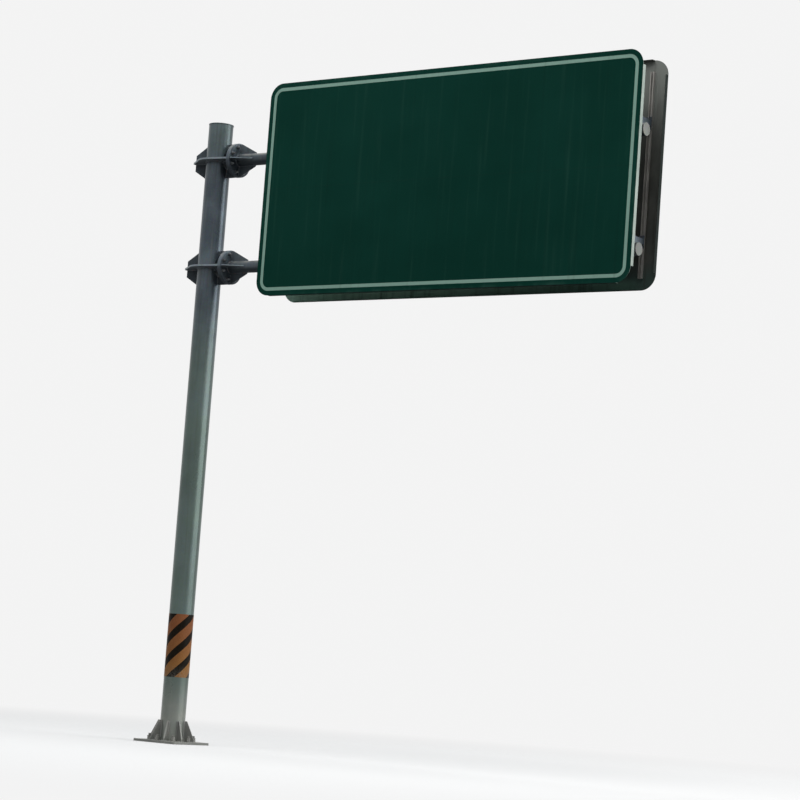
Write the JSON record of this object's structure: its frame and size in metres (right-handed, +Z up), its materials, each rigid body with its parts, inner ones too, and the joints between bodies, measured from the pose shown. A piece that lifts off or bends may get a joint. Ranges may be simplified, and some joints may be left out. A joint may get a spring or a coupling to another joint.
{
  "type": "cantilever sign gantry",
  "caption": "Round steel post with two horizontal arms on stiffened flange brackets, carrying a double-sided sign.",
  "frame": {"origin": "centre of the base plate's underside, on the foundation", "axes": "+Z up along the post, +X along the two arms, -Y the way the front panel looks"},
  "size_m": [5.995, 0.6, 7.25],
  "materials": {
    "post_steel": "satin",
    "arm_steel": "satin",
    "bracket_steel": "satin",
    "sign_sheet": "satin",
    "rail_aluminium": "satin",
    "galvanised_fastener": "satin",
    "hazard_film": "satin"
  },
  "bodies": {
    "root": {"base_plate": "bracket_steel", "base_gussets": "bracket_steel", "post_tube": "post_steel", "post_cap": "post_steel", "upper_ring_plate": "bracket_steel", "upper_gussets": "bracket_steel", "upper_stub": "bracket_steel", "upper_stub_ribs": "bracket_steel", "upper_post_flange": "bracket_steel", "upper_arm_flange": "bracket_steel", "upper_arm_ribs": "bracket_steel", "upper_arm": "arm_steel", "upper_arm_cap": "arm_steel", "lower_ring_plate": "bracket_steel", "lower_gussets": "bracket_steel", "lower_stub": "bracket_steel", "lower_stub_ribs": "bracket_steel", "lower_post_flange": "bracket_steel", "lower_arm_flange": "bracket_steel", "lower_arm_ribs": "bracket_steel", "lower_arm": "arm_steel", "lower_arm_cap": "arm_steel", "upper_saddles": "bracket_steel", "upper_cross_beams": "bracket_steel", "lower_saddles": "bracket_steel", "lower_cross_beams": "bracket_steel", "front_panel": "sign_sheet", "front_rails": "rail_aluminium", "rear_panel": "sign_sheet", "rear_rails": "rail_aluminium"}
  },
  "joints": []
}
